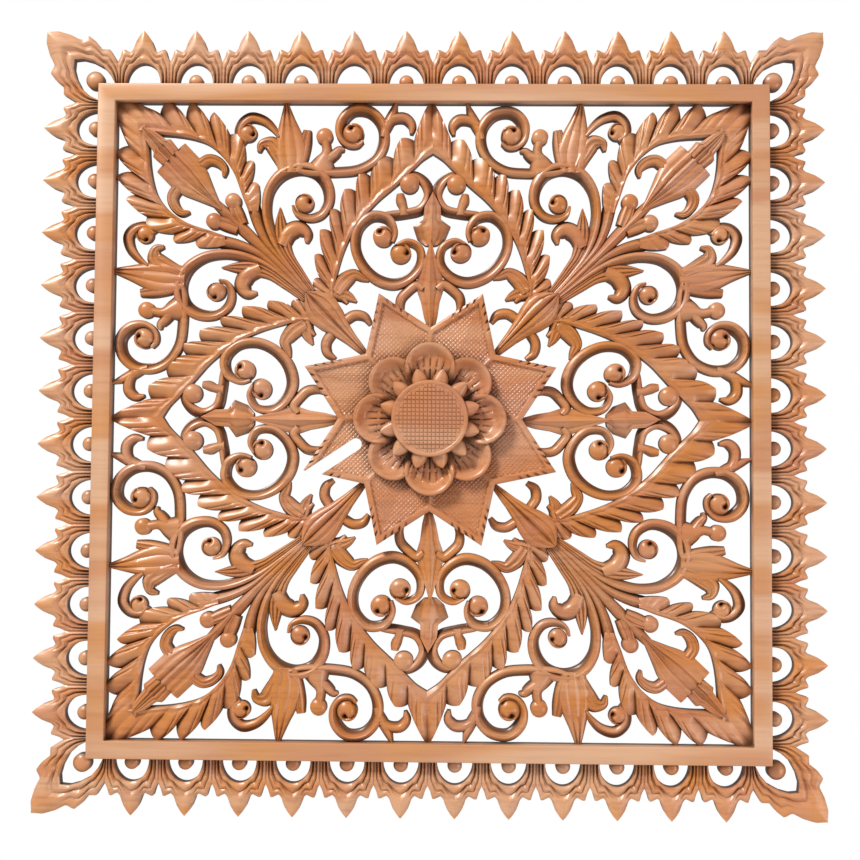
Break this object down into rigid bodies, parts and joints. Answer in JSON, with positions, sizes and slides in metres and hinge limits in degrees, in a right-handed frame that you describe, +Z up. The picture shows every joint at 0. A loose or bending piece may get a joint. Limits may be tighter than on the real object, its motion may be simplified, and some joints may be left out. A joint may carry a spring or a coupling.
{
  "type": "carved wall panel",
  "caption": "Square pierced teak wall panel of carved scrolls and leaves in a raised rail, with a leaf fringe and a carved lotus on a star in the middle.",
  "frame": {"origin": "middle of the flat back, where the panel rests on the wall", "axes": "+Z up, +X to the right seen from the front, the carved front faces -Y and the flat back lies in the plane Y = 0"},
  "size_m": [0.898, 0.045, 0.898],
  "materials": {
    "panel_teak": "satin varnished teak",
    "lotus_teak": "satin varnished teak"
  },
  "bodies": {
    "root": {"carved_panel": "panel_teak", "lotus_rosette": "lotus_teak"}
  },
  "joints": []
}
